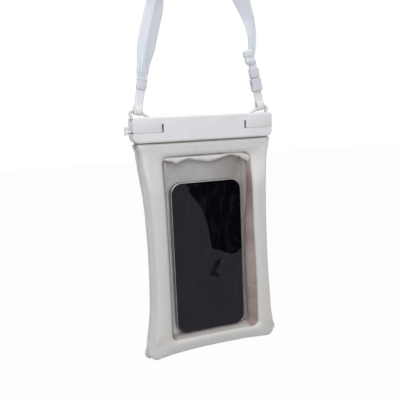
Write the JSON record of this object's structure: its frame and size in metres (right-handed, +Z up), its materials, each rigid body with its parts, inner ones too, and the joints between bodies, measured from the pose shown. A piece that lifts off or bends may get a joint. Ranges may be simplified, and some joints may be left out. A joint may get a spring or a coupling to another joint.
{
  "type": "waterproof phone pouch",
  "caption": "Waterproof phone pouch with an inflated rim, clear window, latching clamp bar and neck strap, holding a phone.",
  "frame": {"origin": "where the top of the neck strap's loop bears: the strap's inner face at its highest point", "axes": "+X along the clamp bar to the viewer's right, +Y from the phone's screen to its back, +Z up"},
  "size_m": [0.1474, 0.0248, 0.3681],
  "materials": {
    "clamp_plastic": "white moulded plastic, satin",
    "seal_rubber": "pale grey, soft",
    "pin_steel": "drawn",
    "eyelet_plastic": "cream, soft",
    "cushion_film": "opaque white film over air, satin",
    "window_film": "clear film, glossy",
    "phone_rail": "satin",
    "phone_glass": "black, polished",
    "phone_lens": "dark lens cover, polished",
    "strap_webbing": "woven white webbing",
    "fitting_plastic": "white moulded plastic"
  },
  "bodies": {
    "pouch": {"clamp_front_jaw": "clamp_plastic", "clamp_rear_jaw": "clamp_plastic", "clamp_seal": "seal_rubber", "latch_pin_right": "pin_steel", "latch_pin_left": "pin_steel", "lanyard_eyelet_right": "eyelet_plastic", "lanyard_eyelet_left": "eyelet_plastic", "air_cushion_frame": "cushion_film", "pocket_film_front": "window_film", "pocket_film_rear": "window_film", "phone_frame": "phone_rail", "phone_front_glass": "phone_glass", "phone_back_glass": "phone_glass", "phone_camera_plate": "phone_glass", "phone_camera_lens_upper": "phone_lens", "phone_camera_lens_lower": "phone_lens", "strap_tail_left": "strap_webbing", "strap_joiner_left": "fitting_plastic", "strap_tail_right": "strap_webbing", "buckle_socket_right": "fitting_plastic", "buckle_plug_right": "fitting_plastic", "strap_link_right": "strap_webbing", "strap_slider_right": "fitting_plastic", "neck_strap": "strap_webbing"},
    "right_latch": {"latch_right": "clamp_plastic"},
    "left_latch": {"latch_left": "clamp_plastic"},
    "action_button": {"phone_action_button": "phone_rail"},
    "volume_up_button": {"phone_volume_up_button": "phone_rail"},
    "volume_down_button": {"phone_volume_down_button": "phone_rail"},
    "side_button": {"phone_side_button": "phone_rail"}
  },
  "joints": [
    {"name": "latch_right_swing", "type": "hinge", "parent": "pouch", "child": "right_latch", "pos_m": [0.0705, 0.005, -0.15185], "axis": [0, 0, 1], "range_deg": [0, 110]},
    {"name": "latch_left_swing", "type": "hinge", "parent": "pouch", "child": "left_latch", "pos_m": [-0.0705, 0.005, -0.15185], "axis": [0, 0, -1], "range_deg": [0, 110]},
    {"name": "action_button_press", "type": "slide", "parent": "pouch", "child": "action_button", "axis": [1, 0, 0], "range_m": [0, 0.0004], "stiffness_N_per_m": 500},
    {"name": "volume_up_press", "type": "slide", "parent": "pouch", "child": "volume_up_button", "axis": [1, 0, 0], "range_m": [0, 0.0004], "stiffness_N_per_m": 500},
    {"name": "volume_down_press", "type": "slide", "parent": "pouch", "child": "volume_down_button", "axis": [1, 0, 0], "range_m": [0, 0.0004], "stiffness_N_per_m": 500},
    {"name": "side_button_press", "type": "slide", "parent": "pouch", "child": "side_button", "axis": [-1, 0, 0], "range_m": [0, 0.0004], "stiffness_N_per_m": 500}
  ]
}
